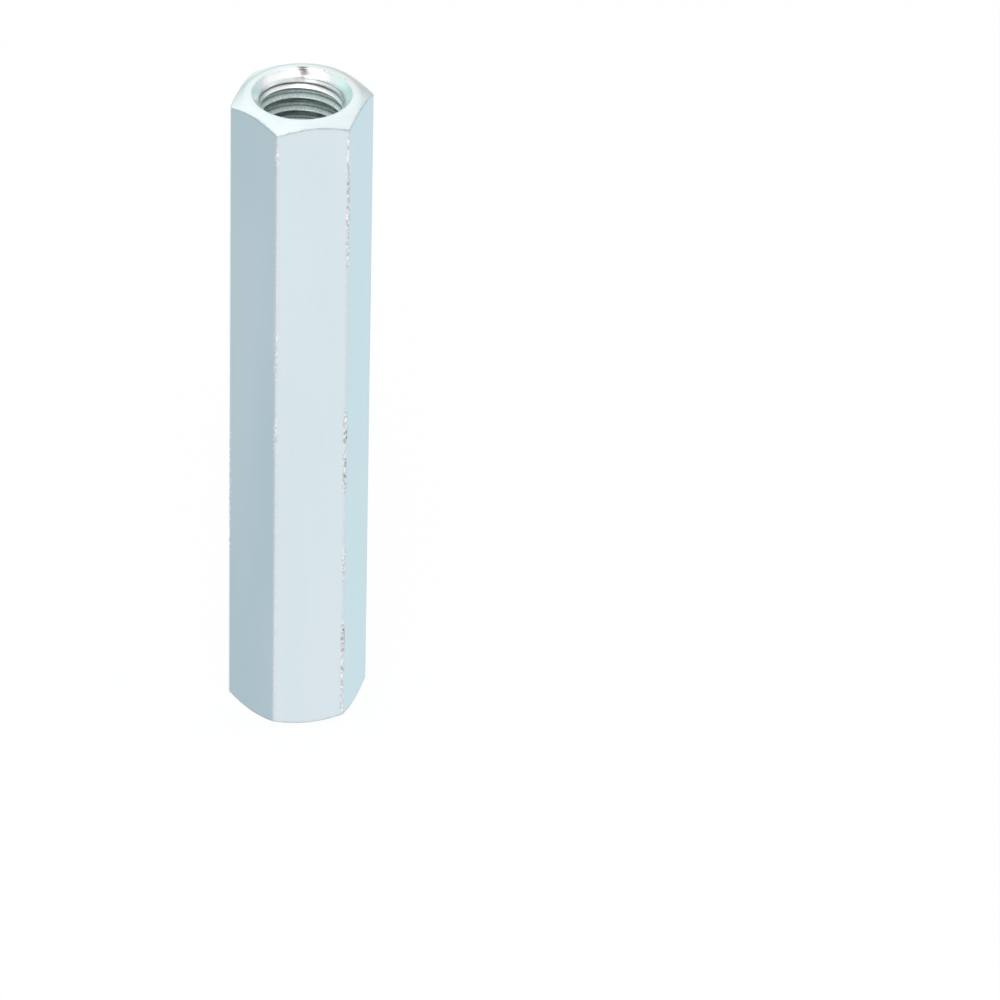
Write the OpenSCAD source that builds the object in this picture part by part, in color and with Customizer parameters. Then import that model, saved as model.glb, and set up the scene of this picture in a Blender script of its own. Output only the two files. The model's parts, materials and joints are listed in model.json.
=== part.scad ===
// Hexagonal coupling nut, long pattern, turned from one length of drawn hexagonal bar.
// Axis on +Z, origin at the centre of the lower end face, two flats facing +Y and -Y.

/* [Bar] */
// Width across flats of the drawn bar
across_flats = 13; // [12.8:0.1:17]
// Length from end face to end face
nut_length = 75; // [30:1:120]
// Depth that the drawing die takes off each of the six sharp edges
edge_relief = 0.06; // [0.02:0.01:0.16]

/* [Tapped hole] */
// Bore drilled before tapping, the minor diameter of an M10 x 1.5 thread
bore_diameter = 8.376; // [6.6:0.002:8.8]
// Width of the countersink where it meets an end face
countersink_diameter = 10.3; // [9.6:0.1:11]
// Full angle of the countersink
countersink_angle = 90; // [60:5:120]

/* [Ends] */
// Width of the flat faced ring inside the outer chamfer
end_face_diameter = 11.6; // [11.2:0.1:12.6]
// Slope of the outer chamfer, measured from the end face
chamfer_angle = 30; // [15:1:45]

/* [Hidden] */

// A finer circle only smooths the preview
$fn = 120;

// How far a cutter runs past the face that it cuts
overrun = 1;

// Distance from the axis to a sharp corner of the hexagon
corner_reach = across_flats / 2 / cos(30);
// Distance from the axis to a relieved edge
edge_reach = corner_reach - edge_relief;
// Depth of the chamfer along the axis at a relieved edge
chamfer_fall = (edge_reach - end_face_diameter / 2) * tan(chamfer_angle);

// Depth of a countersink along the axis
countersink_depth = (countersink_diameter - bore_diameter) / 2 / tan(countersink_angle / 2);

// The hexagon with sharp corners, its flats square to Y
module hexagonal_bar() {
    linear_extrude(height = nut_length)
        circle(r = corner_reach, $fn = 6);
}

// Solid of revolution that holds the relieved edges, and the flat ring and chamfer of each end
module turned_envelope() {
    end_radius = end_face_diameter / 2;
    rotate_extrude()
        polygon([
            [0, 0],
            [end_radius, 0],
            [edge_reach, chamfer_fall],
            [edge_reach, nut_length - chamfer_fall],
            [end_radius, nut_length],
            [0, nut_length]
        ]);
}

// Bore and its two countersinks, as one cutter
module bore_and_countersinks() {
    bore_radius = bore_diameter / 2;
    // The cones run on past the end faces at the same slope
    flared_radius = countersink_diameter / 2 + overrun * tan(countersink_angle / 2);
    rotate_extrude()
        polygon([
            [0, -overrun],
            [flared_radius, -overrun],
            [bore_radius, countersink_depth],
            [bore_radius, nut_length - countersink_depth],
            [flared_radius, nut_length + overrun],
            [0, nut_length + overrun]
        ]);
}

// The finished nut, in bright zinc plated steel
module nut_body() {
    color("lightsteelblue")
        difference() {
            intersection() {
                hexagonal_bar();
                turned_envelope();
            }
            bore_and_countersinks();
        }
}

nut_body();
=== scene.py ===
import json
import math

import bmesh
import bpy
import numpy as np
from mathutils import Matrix, Vector, noise


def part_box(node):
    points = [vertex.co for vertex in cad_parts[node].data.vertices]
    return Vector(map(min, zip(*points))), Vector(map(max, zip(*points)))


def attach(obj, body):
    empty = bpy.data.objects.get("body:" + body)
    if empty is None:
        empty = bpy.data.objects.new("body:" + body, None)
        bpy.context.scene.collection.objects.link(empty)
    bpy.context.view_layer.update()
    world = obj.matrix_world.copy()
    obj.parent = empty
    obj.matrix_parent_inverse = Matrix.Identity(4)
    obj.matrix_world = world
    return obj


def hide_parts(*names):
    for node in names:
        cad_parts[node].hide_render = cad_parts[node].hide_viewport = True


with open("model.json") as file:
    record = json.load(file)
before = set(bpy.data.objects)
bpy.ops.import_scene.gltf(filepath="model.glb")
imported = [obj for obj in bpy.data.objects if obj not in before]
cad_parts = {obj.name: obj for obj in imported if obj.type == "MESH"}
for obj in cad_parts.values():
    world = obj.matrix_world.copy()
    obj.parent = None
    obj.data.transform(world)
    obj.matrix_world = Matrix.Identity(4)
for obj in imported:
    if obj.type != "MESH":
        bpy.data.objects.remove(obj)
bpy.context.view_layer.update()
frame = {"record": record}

# ---------------------------------------------------------------------------------------------
# The nut's outside. It is a length of hexagonal steel bar, cold drawn through a die that leaves
# the six edges softly rounded. Each end was then faced, chamfered and countersunk in a lathe, and
# the arris where a flat meets a chamfer was left as cut.
# ---------------------------------------------------------------------------------------------

MM = 0.001

nut_low, nut_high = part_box("nut_body")
nut_length = nut_high.z - nut_low.z
flat_reach = nut_high.y
edge_reach = nut_high.x
corner_reach = flat_reach / math.cos(math.radians(30))
# A round of this radius takes a sharp corner back to the reach that the frame gives
edge_round = (corner_reach - edge_reach) / (1 / math.cos(math.radians(30)) - 1)
edge_centre = (flat_reach - edge_round) / math.cos(math.radians(30))

end_face_radius = 5.8 * MM
chamfer_slope = math.tan(math.radians(30))
chamfer_blend = 0.35 * MM
mouth_radius = 5.19 * MM
# The mouth's edge is broken this far on each side, and its rim reaches in unevenly, most at one turn
mouth_break = 0.08 * MM
rim_reach = 0.20 * MM
rim_turn = 86
rim_spread = 75
arris_width = 0.09 * MM
arris_depth = 0.022 * MM
arris_waver = 0.05 * MM

HALF_ROUND_STEPS = 4
HALF_FLAT_STEPS = 20
SIDE_ROWS = 60
# Where an end's rings lie: in from the arris, over the chamfer, over its soft start, at the mouth
ARRIS_INSETS = (0.10 * MM, 0.30 * MM)
CHAMFER_SHARES = (0.6, 0.3)
CHAMFER_OUTER_INSET = 0.4 * MM
HALF_BLEND_STEPS = 3
MOUTH_EDGE_STEPS = 4


def bar_outline():
    """Points round the bar's section, anticlockwise from the middle of the round at +X."""
    sextant = math.radians(60)
    half = []
    for step in range(HALF_ROUND_STEPS + 1):
        turn = 0.5 * sextant * step / HALF_ROUND_STEPS
        half.append(Vector((edge_centre + edge_round * math.cos(turn), edge_round * math.sin(turn))))
    start = half[-1]
    middle = Vector((flat_reach * math.cos(sextant / 2), flat_reach * math.sin(sextant / 2)))
    for step in range(1, HALF_FLAT_STEPS + 1):
        # The points crowd towards the edge, where the arris wavers
        half.append(start.lerp(middle, (step / HALF_FLAT_STEPS) ** 1.4))
    # The second half of the sextant mirrors the first about the flat's middle
    mirrored = [Vector((p.x * math.cos(sextant) + p.y * math.sin(sextant),
                        p.x * math.sin(sextant) - p.y * math.cos(sextant))) for p in half]
    points = []
    for side in range(6):
        turned = Matrix.Rotation(sextant * side, 2)
        points += [turned @ point for point in half + mirrored[-2:0:-1]]
    return np.array([tuple(point) for point in points])


outline = bar_outline()
columns = len(outline)
column_angle = np.unwrap(np.arctan2(outline[:, 1], outline[:, 0]))
column_reach = np.hypot(outline[:, 0], outline[:, 1])


def end_depth(radius):
    """How far the turned end lies below its face at a radius. The chamfer's slope begins softly."""
    past = radius - end_face_radius
    if past <= -chamfer_blend:
        return 0.0
    if past >= chamfer_blend:
        return past * chamfer_slope
    return chamfer_slope * (past + chamfer_blend) ** 2 / (4 * chamfer_blend)


def arris_shift(column, seed):
    """A small wandering along a turned edge, as a tool and the plating leave it."""
    x, y = outline[column]
    place = Vector((x, y, seed * 10 * MM)) / MM
    return arris_waver * (noise.noise(place * 0.9) * 0.6 + noise.noise(place * 3.1) * 0.4)


def side_ring(share):
    """One ring of the bar's side, from the lower arris at 0 to the upper arris at 1."""
    ring = []
    for column in range(columns):
        x, y = outline[column]
        foot = end_depth(column_reach[column]) + arris_width
        ring.append((x, y, foot + share * (nut_length - 2 * foot)))
    return ring


def end_ring(top, radius_of, depth_of=None):
    """One ring of an end, from its radius at each column, and its depth where it is off the slope."""
    ring = []
    for column in range(columns):
        radius = radius_of(column)
        depth = depth_of(column) if depth_of else end_depth(radius)
        turn = column_angle[column]
        height = nut_length - depth if top else depth
        ring.append((radius * math.cos(turn), radius * math.sin(turn), height))
    return ring


def mouth_rim(column):
    """How far the end face reaches in over the mouth, whose edge was broken unevenly."""
    off = math.degrees(column_angle[column]) - rim_turn
    off = abs((off + 180) % 360 - 180)
    return rim_reach * max(0.0, 1 - (off / rim_spread) ** 2)


def end_rings(top):
    """The rings of one end in order, from the arris between flat and chamfer in to the mouth's edge."""
    # Each end's edges wander in their own way
    seed = 3 if top else 7
    rings = [end_ring(
        top,
        lambda c: column_reach[c] - arris_depth,
        lambda c: end_depth(column_reach[c]) + arris_depth * 0.4 + arris_shift(c, seed) * 0.5)]
    for inset in ARRIS_INSETS:
        rings.append(end_ring(top, lambda c: column_reach[c] - inset))
    inner = end_face_radius + chamfer_blend
    for share in CHAMFER_SHARES:
        rings.append(end_ring(
            top,
            lambda c: inner + share * (column_reach[c] - CHAMFER_OUTER_INSET - inner)))
    for step in range(2 * HALF_BLEND_STEPS + 1):
        radius = end_face_radius + chamfer_blend * (1 - step / HALF_BLEND_STEPS)
        rings.append(end_ring(top, lambda c: radius))
    for step in range(MOUTH_EDGE_STEPS + 1):
        # An eighth of a turn from the flat face into the cone, half of it on each side of the edge
        share = step / MOUTH_EDGE_STEPS
        radius = mouth_radius + mouth_break * (1 - 2 * share)
        depth = mouth_break * share ** 2
        rings.append(end_ring(
            top,
            lambda c: radius - mouth_rim(c) + 0.25 * arris_shift(c, seed + 1),
            lambda c: depth + 0.5 * mouth_rim(c) * share))
    return rings


# ---------------------------------------------------------------------------------------------
# The tapped hole. A right-hand M10 x 1.5 thread was cut from end to end with a tap, so its crests
# are the drilled bore, its flanks stand at 60 degrees to each other, and the countersinks cut the
# first and last turns away.
# ---------------------------------------------------------------------------------------------

thread_mount = next(m for m in frame["record"]["mounts"] if m["name"] == "thread_top")
crest_radius = thread_mount["dims"]["r_mm"] * MM
root_radius = 5.0 * MM
pitch = 1.5 * MM
# Height of a crest's middle where the helix crosses +X
helix_start = 0.84 * MM
# The turn at which the first whole crest is measured, and its depth there
first_crest_turn = math.radians(79.3)
first_crest_depth = nut_length - helix_start - pitch * (first_crest_turn / (2 * math.pi) + 48)

# The countersink pressed the cut first turn into a lip, which narrows slowly down to the crests
lip_radius = 4.44 * MM
lip_depth = 0.75 * MM
lip_slope = 0.42
# Degrees round from the first whole crest's measured turn, and how whole the lip is there
LIP_TURNS = (-150, -100, 130, 175)
LIP_WHOLENESS = (0.0, 1.0, 1.0, 0.0)
# Radius of the wall below the lip, at millimetres down from the middle of the first whole crest
BRUISE_STEPS = (-0.47, -0.44, -0.30, 0.15)
BRUISE_RADII = (4.21, 4.50, 4.58, 4.188)
bruise_end = 0.16 * MM
# How far down on that scale the lip is polished, and how far this edge climbs as the lip fades out
lip_polish_end = 0.10 * MM
lip_climb = 2.6 * MM
# How much painted shadow lies in the thin gap under the lip, on the same scale
GAP_STEPS = (-0.62, -0.555, -0.48, -0.21, -0.15, 0.0)
GAP_SHADE = (0.0, 0.25, 1.0, 0.9, 0.35, 0.0)

# Shares of the pitch, from a crest's middle, at which the fine and the plain turns have a row
FINE_ROWS = (0.0, 0.10, 0.14, 0.21, 0.28, 0.325, 0.37, 0.455, 0.5)
PLAIN_ROWS = (0.125, 0.4375)
# How much painted shade lies at shares of the pitch up from a crest: most on the crest and in the
# root, where shade falls, and along a dark line in the middle of the flank
THREAD_SHADE_SHARES = (0.0, 0.10, 0.14, 0.21, 0.28, 0.325, 0.37, 0.455, 0.5, 0.60, 0.85, 0.90, 1.0)
THREAD_SHADE_LEVELS = (1.0, 0.95, 0.1, 0.0, 0.25, 0.95, 0.0, 0.45, 0.9, 0.2, 0.2, 0.95, 1.0)
FINE_DEPTH = 7.5 * MM
STITCH_HEIGHT = 0.12 * MM
# Points nearer than SAME_PLACE are one point, and walls nearer than NEARLY are one wall
SAME_PLACE = 1e-5 * MM
NEARLY = 0.02 * MM


def thread_radius(share):
    """Radius of the thread's profile at a share of the pitch from a crest's middle."""
    share = abs((share + 0.5) % 1.0 - 0.5)
    rise = (share - 0.125) * pitch / math.tan(math.radians(30))
    return min(max(crest_radius + rise, crest_radius), root_radius)


def below_first_crest(turn, height):
    """Distance below the middle of the first whole crest, and how whole the lip is at that turn."""
    turn_back = (turn - first_crest_turn + math.pi) % (2 * math.pi) - math.pi
    below = nut_length - height - first_crest_depth + pitch * turn_back / (2 * math.pi)
    return below, np.interp(math.degrees(turn_back), LIP_TURNS, LIP_WHOLENESS)


def lip_foot(bruised):
    """How far below the first whole crest the lip is polished. Where it fades, this edge climbs."""
    return lip_polish_end - lip_climb * (1 - bruised)


def countersink_radius(height):
    """Radius of the nearer countersink. It comes out smaller than the crests where there is none."""
    return mouth_radius - min(height, nut_length - height)


def wall_radius(turn, height):
    """Radius of the tapped hole's wall: the thread, or a countersink where that is wider."""
    radius = thread_radius((height - helix_start) / pitch - turn / (2 * math.pi))
    below, bruised = below_first_crest(turn, height)
    if below < bruise_end:
        # The lip hangs over the first groove, and a slope runs on to the crest below it
        pressed = np.interp(below / MM, BRUISE_STEPS, BRUISE_RADII) * MM
        if below < BRUISE_STEPS[0] * MM:
            pressed = max(crest_radius, lip_radius - lip_slope * (nut_length - height - lip_depth))
        radius += (pressed - radius) * bruised
    return max(radius, countersink_radius(height))


def mirrored_rows(half):
    """Row shares for a whole pitch, from those of half a pitch."""
    return [*half, *(1 - share for share in reversed(half) if 0 < share < 0.5)]


body_mesh = bmesh.new()
edge_dirt_and_gap_shade_layer = body_mesh.verts.layers.float.new("arris")
thread_shade_layer = body_mesh.verts.layers.float.new("tone")
DRAWN, TURNED, TAPPED = range(3)
# Faces that meet at more than this many degrees show a crisp edge
SHARP_FROM = 24


def add_ring(ring, arris=None):
    """A ring of points. arris says how near to a dirty turned edge each is, from 0 to 1."""
    points = [body_mesh.verts.new(point) for point in ring]
    if arris is not None:
        for point, nearness in zip(points, arris):
            point[edge_dirt_and_gap_shade_layer] = nearness
    return points


def bridge(first, second, finish):
    """Quads between two rings with as many points each."""
    count = len(first)
    for here in range(count):
        after = (here + 1) % count
        face = body_mesh.faces.new((first[here], first[after], second[after], second[here]))
        face.material_index = finish


def stitch(fine, plain):
    """Faces between a ring and another with a third as many points."""
    for here in range(len(plain)):
        after = (here + 1) % len(plain)
        steps = [fine[(3 * here + step) % len(fine)] for step in (3, 2, 1, 0)]
        face = body_mesh.faces.new((plain[here], plain[after], *steps))
        face.material_index = TAPPED


def thread_band(low, high, rows, every):
    """A band of the tapped wall. Its rows follow the helix and stop at the two heights."""
    shares = mirrored_rows(rows)
    turns = column_angle[::every]
    first_lap = math.floor((low - helix_start) / pitch) - 2
    last_lap = math.ceil((high - helix_start) / pitch) + 1
    grid = []
    for turn in turns:
        strip = []
        for lap in range(first_lap, last_lap + 1):
            for share in shares:
                height = helix_start + pitch * (lap + share + turn / (2 * math.pi))
                height = min(max(height, low), high)
                radius = wall_radius(turn, height)
                point = body_mesh.verts.new((radius * math.cos(turn), radius * math.sin(turn), height))
                below, bruised = below_first_crest(turn, height)
                # In the hole this measure is the painted shadow in the gap
                point[edge_dirt_and_gap_shade_layer] = np.interp(below / MM, GAP_STEPS, GAP_SHADE) * bruised
                in_countersink = radius < countersink_radius(height) + NEARLY
                # Painted shade on the crests, in the roots and along a line in the middle of the flank
                if below > lip_foot(bruised) + NEARLY and not in_countersink:
                    point[thread_shade_layer] = np.interp(share, THREAD_SHADE_SHARES, THREAD_SHADE_LEVELS)
                strip.append(point)
        grid.append(strip)
    for here in range(len(turns)):
        last = here == len(turns) - 1
        # Past the seam the helix has climbed one pitch
        lift = len(shares) if last else 0
        beside = grid[0] if last else grid[here + 1]
        for row in range(len(grid[here]) - 1):
            right = min(row + lift, len(beside) - 1)
            right_up = min(row + 1 + lift, len(beside) - 1)
            corners = [grid[here][row], beside[right], beside[right_up], grid[here][row + 1]]
            # Rows that both stop at the band's end leave no face between them
            places = {tuple(round(v / SAME_PLACE) for v in corner.co) for corner in corners}
            if len(places) < 3 or len(set(corners)) < len(corners):
                continue
            face = body_mesh.faces.new(corners)
            height = sum(corner.co.z for corner in corners) / 4
            radius = sum(math.hypot(corner.co.x, corner.co.y) for corner in corners) / 4
            turn = math.atan2(sum(c.co.y for c in corners), sum(c.co.x for c in corners))
            below, bruised = below_first_crest(turn, height)
            in_countersink = radius < countersink_radius(height) + NEARLY
            on_lip = below < lip_foot(bruised)
            face.material_index = TURNED if in_countersink or on_lip else TAPPED
    lower = [strip[0] for strip in grid]
    upper = [strip[-1] for strip in grid]
    return lower, upper


# A narrow row at each end keeps the flecks of the turned edge off the flats
side_shares = [0.0, 0.0025] + [row / SIDE_ROWS for row in range(1, SIDE_ROWS)] + [0.9975, 1.0]
# The chamfer's edge is rubbed clean towards the corners at +X and -X
chamfer_dirt = np.clip(2 * abs(np.sin(column_angle)), 0.15, 1.0)
side = []
for share in side_shares:
    side.append(add_ring(side_ring(share), 0.4 * chamfer_dirt if share in (0.0, 1.0) else None))
for lower_ring, upper_ring in zip(side, side[1:]):
    bridge(lower_ring, upper_ring, DRAWN)

# The mouth's edge is dirty for 60 degrees on each side of its back, and nearly clean past 92
mouth_back = 74
off_back = abs((np.degrees(column_angle) - mouth_back + 180) % 360 - 180)
mouth_dirt = np.interp(off_back, (60, 92.2), (1.0, 0.08))
# The first two rings are the edge of the chamfer, and the last five are the edge of the mouth
dirt_by_ring = {0: chamfer_dirt, 1: 0.25 * chamfer_dirt,
                13: 0.3 * mouth_dirt, 14: 0.9 * mouth_dirt, 15: 0.5 * mouth_dirt}
mouths = {}
for top in (True, False):
    previous = side[-1] if top else side[0]
    for number, ring in enumerate(end_rings(top)):
        points = add_ring(ring, dirt_by_ring.get(number))
        bridge(previous, points, DRAWN if number == 0 else TURNED)
        previous = points
    mouths[top] = previous

fine_low = nut_length - FINE_DEPTH
top_band = thread_band(fine_low, nut_length - mouth_break, FINE_ROWS, 1)
low_band = thread_band(mouth_break, FINE_DEPTH, FINE_ROWS, 1)
mid_band = thread_band(FINE_DEPTH + STITCH_HEIGHT, fine_low - STITCH_HEIGHT, PLAIN_ROWS, 3)
bridge(mouths[True], top_band[1], TURNED)
bridge(mouths[False], low_band[0], TURNED)
stitch(top_band[0], mid_band[1])
stitch(low_band[1], mid_band[0])

bmesh.ops.remove_doubles(body_mesh, verts=body_mesh.verts, dist=SAME_PLACE)
bmesh.ops.dissolve_degenerate(body_mesh, edges=body_mesh.edges, dist=SAME_PLACE)
bmesh.ops.recalc_face_normals(body_mesh, faces=body_mesh.faces)

nut_data = bpy.data.meshes.new("coupling_nut")
body_mesh.to_mesh(nut_data)
body_mesh.free()
nut_data.shade_smooth()
nut_data.set_sharp_from_angle(angle=math.radians(SHARP_FROM))
nut = bpy.data.objects.new("coupling_nut", nut_data)
bpy.context.collection.objects.link(nut)


# Three measures are kept on the mesh's points for the finish: how near a point lies to a long edge,
# how worn that edge is there, and the tint of the passivate's thin film on its flat, darkened with
# painted shade on the front-left flat and lightened with a painted highlight on the two outline edges.
# Degrees from a long edge at which its worn band is whole and is gone
EDGE_BAND = (0.975, 2.6)
# Tints of the six flats, anticlockwise from the edge at +X, with painted shade on the fourth
# (front-left) flat, and the painted highlight of the edges at +X and -X, where they stand at the outline
FLAT_FILM_AND_SHADE = ("#cfe2e7", "#d8e3e9", "#d2dee5", "#aabec5", "#d5e1e6", "#cbe6ec")
# A pale colour painted as a highlight on the two edges that stand at the nut's outline
OUTLINE_EDGE_HIGHLIGHT = "#f6fafc"
OUTLINE_HIGHLIGHT_EDGES = (0, 3)
OUTLINE_HIGHLIGHT_SPREAD = 1.5
# Edge number, from and to along the axis in millimetres, and how worn
WORN_STRETCHES = (
    (5, 69, 73, 0.35), (5, 63, 69, 0.6), (5, 58, 62, 0.4), (5, 35.5, 39, 1.0), (5, 29, 35, 0.7),
    (5, 19, 22, 0.45), (5, 9, 12, 0.9), (5, 6, 7.5, 0.9), (5, 1, 6, 0.4),
    (4, 70.5, 72.5, 0.4), (4, 44, 50, 0.15), (4, 36, 39, 0.2),
    (0, 40, 52, 0.6), (1, 12, 30, 0.5), (2, 50, 66, 0.7), (3, 20, 34, 0.5))
LEAST_WEAR = 0.05


def linear(colour):
    """An sRGB hex colour as the linear values that a shader takes."""
    parts = [int(colour[place:place + 2], 16) / 255 for place in (1, 3, 5)]
    return tuple(p / 12.92 if p <= 0.04045 else ((p + 0.055) / 1.055) ** 2.4 for p in parts) + (1.0,)


nut_data.attributes.new("bar_edge", "FLOAT", "POINT")
nut_data.attributes.new("wear", "FLOAT", "POINT")
nut_data.attributes.new("film", "FLOAT_COLOR", "POINT")
band_at, wear_at, film_and_shade_at = [nut_data.attributes[name].data for name in ("bar_edge", "wear", "film")]
for number, point in enumerate(nut_data.vertices):
    if math.hypot(point.co.x, point.co.y) < 0.99 * flat_reach:
        # It lies on an end or in the hole
        continue
    turn = math.degrees(math.atan2(point.co.y, point.co.x)) % 360
    off = abs((turn + 30) % 60 - 30)
    edge = round(turn / 60) % 6
    height = point.co.z / MM
    worn_here = [worn for at, low, high, worn in WORN_STRETCHES if at == edge and low <= height <= high]
    band_at[number].value = np.interp(off, EDGE_BAND, (1.0, 0.0))
    wear_at[number].value = max(worn_here, default=LEAST_WEAR)
    # The edges at +X and -X stand at the outline and get a painted highlight there
    outline_highlight = edge in OUTLINE_HIGHLIGHT_EDGES and off < OUTLINE_HIGHLIGHT_SPREAD
    film_and_shade_at[number].color = linear(OUTLINE_EDGE_HIGHLIGHT if outline_highlight else FLAT_FILM_AND_SHADE[int(turn // 60)])


def add_node(tree, kind, links=(), **settings):
    """A node with its settings, and its inputs linked or set from pairs of socket and source."""
    node = tree.nodes.new(kind)
    for name, value in settings.items():
        setattr(node, name, value)
    for socket, source in links:
        if isinstance(source, bpy.types.NodeSocket):
            tree.links.new(source, node.inputs[socket])
        else:
            node.inputs[socket].default_value = source
    return node


def new_finish(name):
    """An empty finish, and the place on the nut in millimetres."""
    material = bpy.data.materials.new(name)
    material.use_nodes = True
    tree = material.node_tree
    tree.nodes.clear()
    place = add_node(tree, "ShaderNodeTexCoord")
    place_mm = add_node(tree, "ShaderNodeVectorMath", [
        (0, place.outputs["Object"]),
        (1, (1 / MM, 1 / MM, 1 / MM))], operation="MULTIPLY")
    return material, tree, place_mm.outputs[0]


def grain(tree, place_mm, size, detail=3.0, roughness=0.65):
    """An uneven pattern whose grains measure size along the three axes, in millimetres."""
    place = add_node(tree, "ShaderNodeVectorMath", [
        (0, place_mm),
        (1, size)], operation="DIVIDE")
    pattern = add_node(tree, "ShaderNodeTexNoise", [
        ("Vector", place.outputs[0]),
        ("Scale", 1.0),
        ("Detail", detail),
        ("Roughness", roughness)])
    return pattern.outputs["Fac"]


def lay_over(tree, under, over, limits, most=1.0):
    """A colour over another. Each limit is a measure, and its values at no cover and at full cover."""
    cover = most
    for measure, bare, covered in limits:
        share = add_node(tree, "ShaderNodeMapRange", [
            ("Value", measure),
            ("From Min", bare),
            ("From Max", covered)])
        product = add_node(tree, "ShaderNodeMath", [
            (0, cover),
            (1, share.outputs[0])], operation="MULTIPLY")
        cover = product.outputs[0]
    mixed = add_node(tree, "ShaderNodeMix", [(0, cover), (6, under), (7, over)], data_type="RGBA")
    return mixed.outputs[2]


def complete_finish(material, tree, colour, metallic, roughness, relief):
    """Joins a finish's parts and puts it on the nut. Relief is a pattern, its strength and depth."""
    pattern, strength, depth = relief
    bump = add_node(tree, "ShaderNodeBump", [
        ("Height", pattern),
        ("Strength", strength),
        ("Distance", depth)])
    shader = add_node(tree, "ShaderNodeBsdfPrincipled", [
        ("Base Color", colour),
        ("Metallic", metallic),
        ("Roughness", roughness),
        ("Normal", bump.outputs[0])])
    add_node(tree, "ShaderNodeOutputMaterial", [("Surface", shader.outputs["BSDF"])])
    nut_data.materials.append(material)


# Cold-drawn steel, zinc plated and passivated: the die leaves an even satin that spreads reflections
# into one soft tone for each flat, the passivate tints it blue-white, and the edges lose their
# plating to knocks and show white, grey and dark flecks. The front-left flat's tint holds painted
# shade, and the edges at +X and -X hold a painted highlight where they stand at the outline.
LILAC_CLOUD = "#efe9f6"
DRAWN_LINE = "#aab6be"
RUBBED_EDGE = "#d3cbd2"
WHITE_FLECK = "#fafafc"
GREY_FLECK = "#8b8c90"
DARK_FLECK = "#444548"
ARRIS_DIRT = "#8d8b8c"

drawn, tree, place_mm = new_finish("zinc_plated_drawn_steel")
band = add_node(tree, "ShaderNodeAttribute", attribute_name="bar_edge").outputs["Fac"]
wear = add_node(tree, "ShaderNodeAttribute", attribute_name="wear").outputs["Fac"]
arris = add_node(tree, "ShaderNodeAttribute", attribute_name="arris").outputs["Fac"]
cloud = grain(tree, place_mm, (9, 9, 28), detail=1.0, roughness=0.5)
# Real drawing lines are about 0.02 mm apart, drawn seven times coarser here so that they show
lines = grain(tree, place_mm, (0.14, 0.14, 8), roughness=0.5)
specks = grain(tree, place_mm, (0.2, 0.2, 0.385))
flakes = grain(tree, place_mm, (0.31, 0.31, 0.5), roughness=0.7)
# The film attribute: the flats' tints, with painted shade on the front-left flat and a painted highlight
# on the outline edges
colour = add_node(tree, "ShaderNodeAttribute", attribute_name="film").outputs["Color"]
colour = lay_over(tree, colour, linear(LILAC_CLOUD), [(cloud, 0.35, 0.65)], 0.10)
colour = lay_over(tree, colour, linear(DRAWN_LINE), [(lines, 0.3, 0.7)], 0.03)
colour = lay_over(tree, colour, linear(RUBBED_EDGE), [(band, 0, 1), (wear, -0.45, 1.0)], 0.8)
for fleck, worn, pattern, most in (
        (WHITE_FLECK, (wear, 0.0, 0.3), (specks, 0.53, 0.57), 0.95),
        (GREY_FLECK, (wear, 0.0, 0.8), (specks, 0.46, 0.40), 0.85),
        (DARK_FLECK, (wear, 0.4, 0.9), (flakes, 0.45, 0.40), 0.95)):
    colour = lay_over(tree, colour, linear(fleck), [(band, 0, 1), worn, pattern], most)
colour = lay_over(tree, colour, linear(ARRIS_DIRT), [(arris, 0, 1)], 0.45)
colour = lay_over(tree, colour, linear(ARRIS_DIRT), [(arris, 0, 1), (specks, 0.50, 0.40)], 0.7)
satin = add_node(tree, "ShaderNodeMapRange", [
    ("Value", lines),
    ("From Min", 0.3),
    ("From Max", 0.7),
    ("To Min", 0.44),
    ("To Max", 0.48)])
# The clouded film over the zinc leaves it only partly metallic
complete_finish(drawn, tree, colour, 0.6, satin.outputs[0], (lines, 0.02, 0.02 * MM))

# Lathe-turned steel, zinc plated: smoother and brighter than the drawn flats, so the faced ring is
# nearly white, with painted shade at its right. In the countersink, painted shade and painted
# blue-green reflections lie at both sides, a dark stain marks its back, and a fine line of painted
# shade runs from the stain to the right.
RING_WHITE = "#eef8f9"
RING_COOL = "#e8f5f6"
RING_PAINTED_SHADE = "#e5e8e5"
CONE_WHITE = "#ffffff"
CONE_SIDE_SHADE = "#c4d3da"
CONE_SIDE_REFLECTION = "#cdf5ef"
CONE_LEFT_REFLECTION = "#e8fffb"
STAIN_HALO = "#a39f9d"
STAIN_CORE = "#4c4846"
SHADE_LINE = "#6d7574"
EDGE_DIRT = "#8f8986"
GAP_SHADOW = "#3d4b46"
stain_place = (0.95, 4.98, 74.85)
shade_line_height = 74.02
# The line of painted shade runs from the stain towards this side
shade_line_side = (0.98, -0.19, 0.0)


def from_axis(tree, place_mm):
    """The three parts of a place, and its distance from the nut's axis."""
    parts = add_node(tree, "ShaderNodeSeparateXYZ", [(0, place_mm)])
    level = add_node(tree, "ShaderNodeVectorMath", [(0, place_mm), (1, (1, 1, 0))], operation="MULTIPLY")
    distance = add_node(tree, "ShaderNodeVectorMath", [(0, level.outputs[0])], operation="LENGTH")
    return parts.outputs, distance.outputs["Value"]


turned, tree, place_mm = new_finish("zinc_plated_turned_steel")
# Near the outer edges this measure is dirt; in the hole it is the painted shadow in the gap under the
# lip
arris = add_node(tree, "ShaderNodeAttribute", attribute_name="arris").outputs["Fac"]
place, radius = from_axis(tree, place_mm)
sideways = add_node(tree, "ShaderNodeMath", [(0, place["X"])], operation="ABSOLUTE").outputs[0]
# A limit in millimetres from the axis, just inside the mouth's edge
in_hole = (radius, 5.12, 5.0)
cloud = grain(tree, place_mm, (2.9, 2.9, 2.9), detail=2.0, roughness=0.5)
specks = grain(tree, place_mm, (0.28, 0.28, 0.28))
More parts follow.
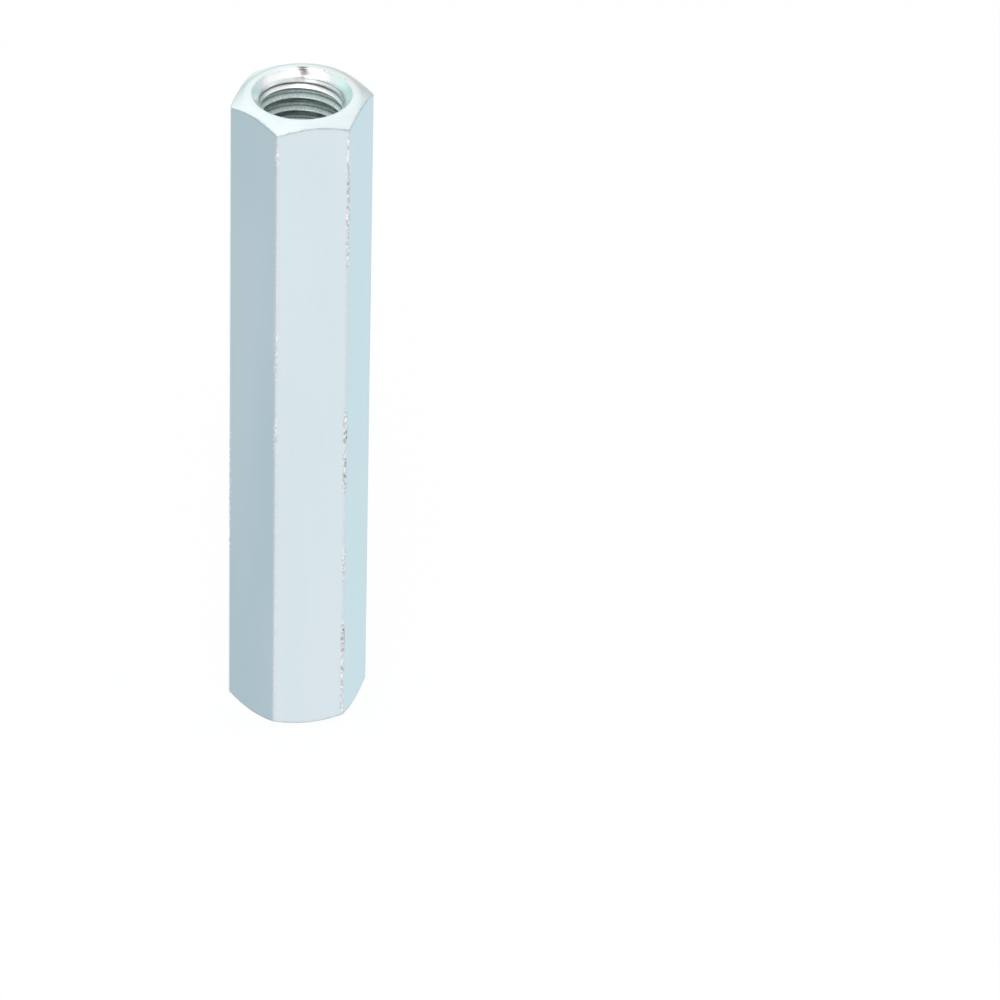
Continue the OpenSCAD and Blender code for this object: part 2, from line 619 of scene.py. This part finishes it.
# The tool's feed marks, 0.11 mm apart
marks = add_node(tree, "ShaderNodeTexNoise", [
    ("W", radius),
    ("Scale", 1 / 0.11),
    ("Detail", 2.0)], noise_dimensions="1D").outputs["Fac"]
colour = lay_over(tree, linear(RING_WHITE), linear(RING_COOL), [(cloud, 0.35, 0.65)])
# Painted shade on the right of the faced ring, where it reflects less light
shade_at_right = [(place["X"], 1.0, 4.5), (place["Y"], -2.0, 1.5)]
colour = lay_over(tree, colour, linear(RING_PAINTED_SHADE), shade_at_right, 0.9)
colour = lay_over(tree, colour, linear(CONE_WHITE), [in_hole])
# Painted shade and painted blue-green reflections on the countersink's two sides, and a paler painted
# reflection on its left
colour = lay_over(tree, colour, linear(CONE_SIDE_SHADE), [in_hole, (sideways, 2.8, 3.7)], 0.55)
colour = lay_over(tree, colour, linear(CONE_SIDE_REFLECTION), [in_hole, (sideways, 3.8, 4.6)], 0.8)
colour = lay_over(tree, colour, linear(CONE_LEFT_REFLECTION), [in_hole, (place["X"], -3.8, -4.6)], 0.7)

# The stain: its outline is stirred, and it reaches further down the cone than round it
stir = add_node(tree, "ShaderNodeTexNoise", [
    ("Vector", place_mm),
    ("Scale", 1 / 0.9),
    ("Detail", 3.0)])
stir_off = add_node(tree, "ShaderNodeVectorMath", [
    (0, stir.outputs["Color"]),
    (1, (1.0, 0.5, 0.7)),
    (2, (-0.5, -0.25, -0.35))], operation="MULTIPLY_ADD")
from_stain = add_node(tree, "ShaderNodeVectorMath", [
    (0, place_mm),
    (1, stain_place)], operation="SUBTRACT")
from_stain = add_node(tree, "ShaderNodeVectorMath", [
    (0, from_stain.outputs[0]),
    (1, stir_off.outputs[0])], operation="ADD")
in_cone = (radius, 5.2, 5.05)
for stain, size, fade, most in (
        (STAIN_HALO, (0.8, 2.0, 2.0), (1.5, 0.4), 0.8),
        (STAIN_CORE, (0.6, 2.0, 1.65), (0.9, 0.1), 0.9)):
    spread = add_node(tree, "ShaderNodeVectorMath", [
        (0, from_stain.outputs[0]),
        (1, size)], operation="DIVIDE")
    far = add_node(tree, "ShaderNodeVectorMath", [
        (0, spread.outputs[0])], operation="LENGTH").outputs["Value"]
    colour = lay_over(tree, colour, linear(stain), [(far, *fade), in_cone], most)

# The fine line of painted shade
above_shade_line = add_node(tree, "ShaderNodeMath", [
    (0, place["Z"]),
    (1, shade_line_height)], operation="SUBTRACT")
off_shade_line = add_node(tree, "ShaderNodeMath", [
    (0, above_shade_line.outputs[0])], operation="ABSOLUTE").outputs[0]
along_shade_line = add_node(tree, "ShaderNodeVectorMath", [
    (0, place_mm),
    (1, shade_line_side)], operation="DOT_PRODUCT").outputs["Value"]
on_shade_line = [(off_shade_line, 0.08, 0.02), (along_shade_line, 0.0, 0.5)]
colour = lay_over(tree, colour, linear(SHADE_LINE), on_shade_line, 0.7)

# Dirt on the chamfer's edge, flecks on both edges, and painted shadow in the gap under the lip
colour = lay_over(tree, colour, linear(EDGE_DIRT), [(arris, 0, 1), (radius, 5.3, 5.6)], 0.4)
colour = lay_over(tree, colour, linear(EDGE_DIRT), [(arris, 0, 1), (specks, 0.46, 0.38)], 0.9)
colour = lay_over(tree, colour, linear(GAP_SHADOW), [(arris, 0, 1), (radius, 4.9, 4.8)])
polish = add_node(tree, "ShaderNodeMapRange", [
    ("Value", marks),
    ("From Min", 0.3),
    ("From Max", 0.7),
    ("To Min", 0.27),
    ("To Max", 0.31)])
complete_finish(turned, tree, colour, 0.75, polish.outputs[0], (marks, 0.03, 0.02 * MM))

# Tapped steel, zinc plated: the tap tears fine chatter across the flanks and scores along them, so
# each turn sparkles in streaks, and painted grey-green shade darkens the crests and roots, broken by the
# scores.
FLANK_DULL = "#cae2de"
FLANK_BRIGHT = "#faffff"
THREAD_SHADE = "#3f5753"

tapped, tree, place_mm = new_finish("zinc_plated_tapped_steel")
# The tone attribute holds the painted shade of the thread
tone = add_node(tree, "ShaderNodeAttribute", attribute_name="tone").outputs["Fac"]
place, radius = from_axis(tree, place_mm)
turn = add_node(tree, "ShaderNodeMath", [(0, place["Y"]), (1, place["X"])], operation="ARCTAN2")
round_hole = add_node(tree, "ShaderNodeCombineXYZ", [
    ("X", turn.outputs[0]),
    ("Y", radius),
    ("Z", place["Z"])]).outputs[0]
# The first size is in radians: a chatter mark is 0.11 mm wide on the crests, and a score runs 1.5 mm
chatter = grain(tree, round_hole, (0.025, 0.5, 0.45), roughness=0.6)
scores = grain(tree, round_hole, (0.33, 0.07, 1.0), roughness=0.6)
colour = lay_over(tree, linear(FLANK_DULL), linear(FLANK_BRIGHT), [(chatter, 0.36, 0.64)])
colour = lay_over(tree, colour, linear(THREAD_SHADE), [(tone, 0, 1), (scores, -0.55, 0.65)])
torn = add_node(tree, "ShaderNodeMath", [(0, chatter), (1, scores)], operation="ADD")
complete_finish(tapped, tree, colour, 0.3, 0.28, (torn.outputs[0], 0.25, 0.04 * MM))

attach(nut, "root")
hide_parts("nut_body")

# ---------------------------------------------------------------------------------------------
# The floor. It is a wide sheet of matt white paper, lit from behind, so that it looks white to the
# camera and in the nut's plating, and keeps only a trace of the nut's shadow.
# ---------------------------------------------------------------------------------------------

FLOOR_PAPER = "#eef2f2"
floor_half = 3.0
shadow_kept = 0.07

floor_data = bpy.data.meshes.new("floor")
corners = [(x * floor_half, y * floor_half, 0) for x, y in ((-1, -1), (1, -1), (1, 1), (-1, 1))]
floor_data.from_pydata(corners, [], [(0, 1, 2, 3)])
floor = bpy.data.objects.new("floor", floor_data)
bpy.context.collection.objects.link(floor)
floor_material = bpy.data.materials.new("matt_white_paper")
floor_material.use_nodes = True
tree = floor_material.node_tree
tree.nodes.clear()
paper = add_node(tree, "ShaderNodeBsdfDiffuse", [("Color", linear(FLOOR_PAPER))])
glow = add_node(tree, "ShaderNodeEmission", [("Color", linear("#ffffff")), ("Strength", 1.0)])
ray = add_node(tree, "ShaderNodeLightPath")
mirrored = add_node(tree, "ShaderNodeMath", [
    (0, ray.outputs["Is Glossy Ray"]),
    (1, ray.outputs["Is Transmission Ray"])], operation="MAXIMUM")
shown = add_node(tree, "ShaderNodeMath", [
    (0, ray.outputs["Is Camera Ray"]),
    (1, mirrored.outputs[0])], operation="MAXIMUM")
glow_share = add_node(tree, "ShaderNodeMath", [
    (0, shown.outputs[0]),
    (1, 1 - shadow_kept)], operation="MULTIPLY")
mixed = add_node(tree, "ShaderNodeMixShader", [
    (0, glow_share.outputs[0]),
    (1, paper.outputs[0]),
    (2, glow.outputs[0])])
add_node(tree, "ShaderNodeOutputMaterial", [("Surface", mixed.outputs[0])])
floor_data.materials.append(floor_material)

# ---------------------------------------------------------------------------------------------
# The surround. It is a white light tent, full overhead and dimmer and cooler towards the floor, and
# a little brighter on the left.
# ---------------------------------------------------------------------------------------------

TENT_LOW = "#e6f6f6"
TENT_HIGH = "#ffffff"
level_at_floor = 0.39
level_overhead = 0.96
level_on_left = 1.14
level_on_right = 0.94
to_right = (0.94, -0.34, 0.0)

world = bpy.data.worlds.new("white_light_tent")
bpy.context.scene.world = world
world.use_nodes = True
tree = world.node_tree
tree.nodes.clear()
towards = add_node(tree, "ShaderNodeTexCoord").outputs["Generated"]
rise = add_node(tree, "ShaderNodeSeparateXYZ", [(0, towards)]).outputs["Z"]
rightward = add_node(tree, "ShaderNodeVectorMath", [
    (0, towards),
    (1, to_right)], operation="DOT_PRODUCT")
tent_colour = lay_over(tree, linear(TENT_LOW), linear(TENT_HIGH), [(rise, 0.0, 0.5)])
upper = add_node(tree, "ShaderNodeMapRange", [
    ("Value", rise),
    ("From Min", 0.0),
    ("From Max", 0.45),
    ("To Min", level_at_floor),
    ("To Max", level_overhead)])
sided = add_node(tree, "ShaderNodeMapRange", [
    ("Value", rightward.outputs["Value"]),
    ("From Min", -1.0),
    ("From Max", 0.6),
    ("To Min", level_on_left),
    ("To Max", level_on_right)])
level = add_node(tree, "ShaderNodeMath", [
    (0, upper.outputs[0]),
    (1, sided.outputs[0])], operation="MULTIPLY")
tent = add_node(tree, "ShaderNodeBackground", [("Color", tent_colour), ("Strength", level.outputs[0])])
add_node(tree, "ShaderNodeOutputWorld", [("Surface", tent.outputs[0])])

# ---------------------------------------------------------------------------------------------
# The lamps. Two soft boxes stand nine tenths of a metre off: one at the front left for the flats, and
# a smaller one higher up that reaches into the tapped hole.
# ---------------------------------------------------------------------------------------------

nut_centre = (nut_low + nut_high) / 2
lamp_distance = 0.9


def outward(turn, rise):
    """Direction from the nut, turned from -Y towards +X and raised from the floor, in radians."""
    return Vector((math.sin(turn) * math.cos(rise), -math.cos(turn) * math.cos(rise), math.sin(rise)))


def soft_lamp(name, turn, rise, width, watts):
    """A square soft lamp that looks at the nut's middle from a direction in degrees."""
    lamp_data = bpy.data.lights.new(name, "AREA")
    lamp_data.size = width
    lamp_data.energy = watts
    lamp = bpy.data.objects.new(name, lamp_data)
    bpy.context.collection.objects.link(lamp)
    away = outward(math.radians(turn), math.radians(rise))
    lamp.location = nut_centre + away * lamp_distance
    lamp.rotation_euler = away.to_track_quat("Z", "Y").to_euler()


soft_lamp("key_lamp", turn=-25, rise=30, width=0.5, watts=1.8)
soft_lamp("bore_lamp", turn=-5, rise=50, width=0.3, watts=1.3)

# ---------------------------------------------------------------------------------------------
# The camera: a long lens 0.85 m off, a little over 33 degrees up and turned so that one flat nearly
# faces it. The nut's centre falls left of the middle of the picture and above it.
# ---------------------------------------------------------------------------------------------

view_turn = math.radians(-10.71)
view_rise = math.radians(33.51)
view_roll = math.radians(0.51)
view_distance = 852 * MM
px_per_mm = 9.552
frame_px = 1000
nut_centre_px = (299.48, 399.01)

camera_data = bpy.data.cameras.new("camera")
camera_data.sensor_width = 36.0
# The focal length that gives the nut, at its distance, this many pixels to a millimetre
camera_data.lens = px_per_mm * view_distance / MM * camera_data.sensor_width / frame_px
camera_data.clip_start = 0.01
camera_data.clip_end = 20.0
camera = bpy.data.objects.new("camera", camera_data)
bpy.context.collection.objects.link(camera)
towards_camera = outward(view_turn, view_rise)
camera_place = nut_centre + towards_camera * view_distance
across = Vector((math.cos(view_turn), math.sin(view_turn), 0))
upward = towards_camera.cross(across)
rolled_across = across * math.cos(view_roll) + upward * math.sin(view_roll)
rolled_upward = upward * math.cos(view_roll) - across * math.sin(view_roll)
# The camera aims beside the nut, so that the nut's centre falls at its place in the picture
aim_right = (frame_px / 2 - nut_centre_px[0]) / px_per_mm * MM
aim_up = (nut_centre_px[1] - frame_px / 2) / px_per_mm * MM
aim = nut_centre + rolled_across * aim_right + rolled_upward * aim_up
backward = (camera_place - aim).normalized()
right = rolled_upward.cross(backward).normalized()
looking = Matrix((right, backward.cross(right), backward)).transposed()
camera.matrix_world = Matrix.Translation(camera_place) @ looking.to_4x4()
bpy.context.scene.camera = camera
bpy.context.scene.view_settings.view_transform = "Standard"
